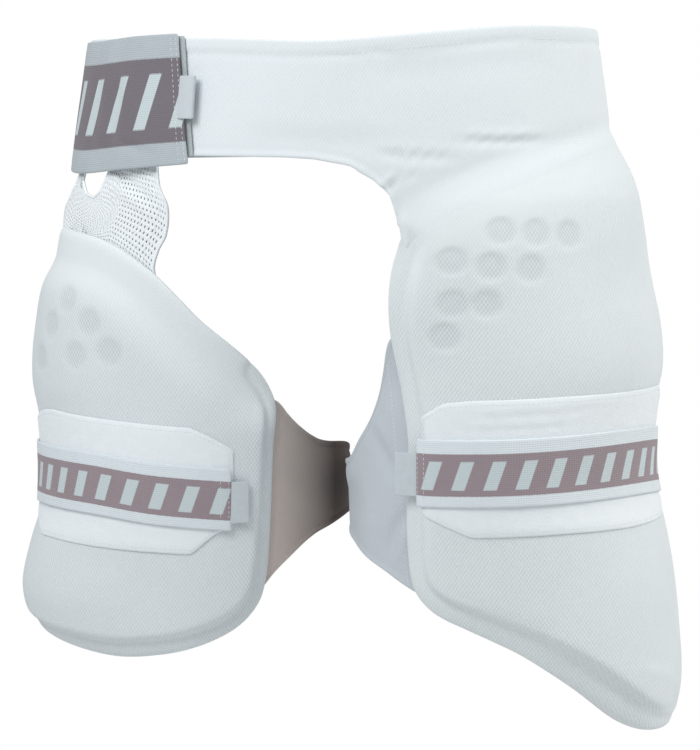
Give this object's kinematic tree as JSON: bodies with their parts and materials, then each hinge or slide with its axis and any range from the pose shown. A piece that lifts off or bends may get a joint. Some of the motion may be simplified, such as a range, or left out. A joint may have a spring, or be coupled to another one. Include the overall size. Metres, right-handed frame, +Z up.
{
  "type": "cricket thigh guard",
  "caption": "Worn cricket thigh guard: a waistband with an elastic belt carries an outer thigh pad and an inner thigh pad, each with a strap.",
  "frame": {"origin": "the middle of the waist opening, half way up the waistband, where the wearer's waist holds the guard", "axes": "+Z up; the wearer faces -Y; the wearer's left, which has the larger pad, is +X"},
  "size_m": [0.4318, 0.252, 0.4359],
  "materials": {
    "knit": "white stretch knit, fine diagonal texture, matt",
    "pad_cover": "white diagonal knit over foam, matt",
    "wing_knit": "white stretch cloth, matt",
    "mesh_cloth": "white open mesh, matt",
    "belt_elastic": "woven elastic, mauve grey with white borders",
    "strap_elastic": "woven elastic, mauve grey with white borders",
    "loop_cloth": "white brushed loop pile, matt",
    "hook_tape": "white hook tape",
    "label": "pale woven satin label"
  },
  "bodies": {
    "root": {"waist_yoke": "knit", "waist_elastic": "belt_elastic", "waist_hook_tape": "hook_tape", "waist_pull_tab": "label", "outer_pad": "pad_cover", "outer_wing": "wing_knit", "outer_loop_patch": "loop_cloth", "outer_strap": "strap_elastic", "outer_strap_tab": "label", "mesh_panel": "mesh_cloth", "inner_pad": "pad_cover", "inner_wing": "wing_knit", "inner_loop_patch": "loop_cloth", "inner_strap": "strap_elastic", "inner_strap_tab": "label"}
  },
  "joints": []
}
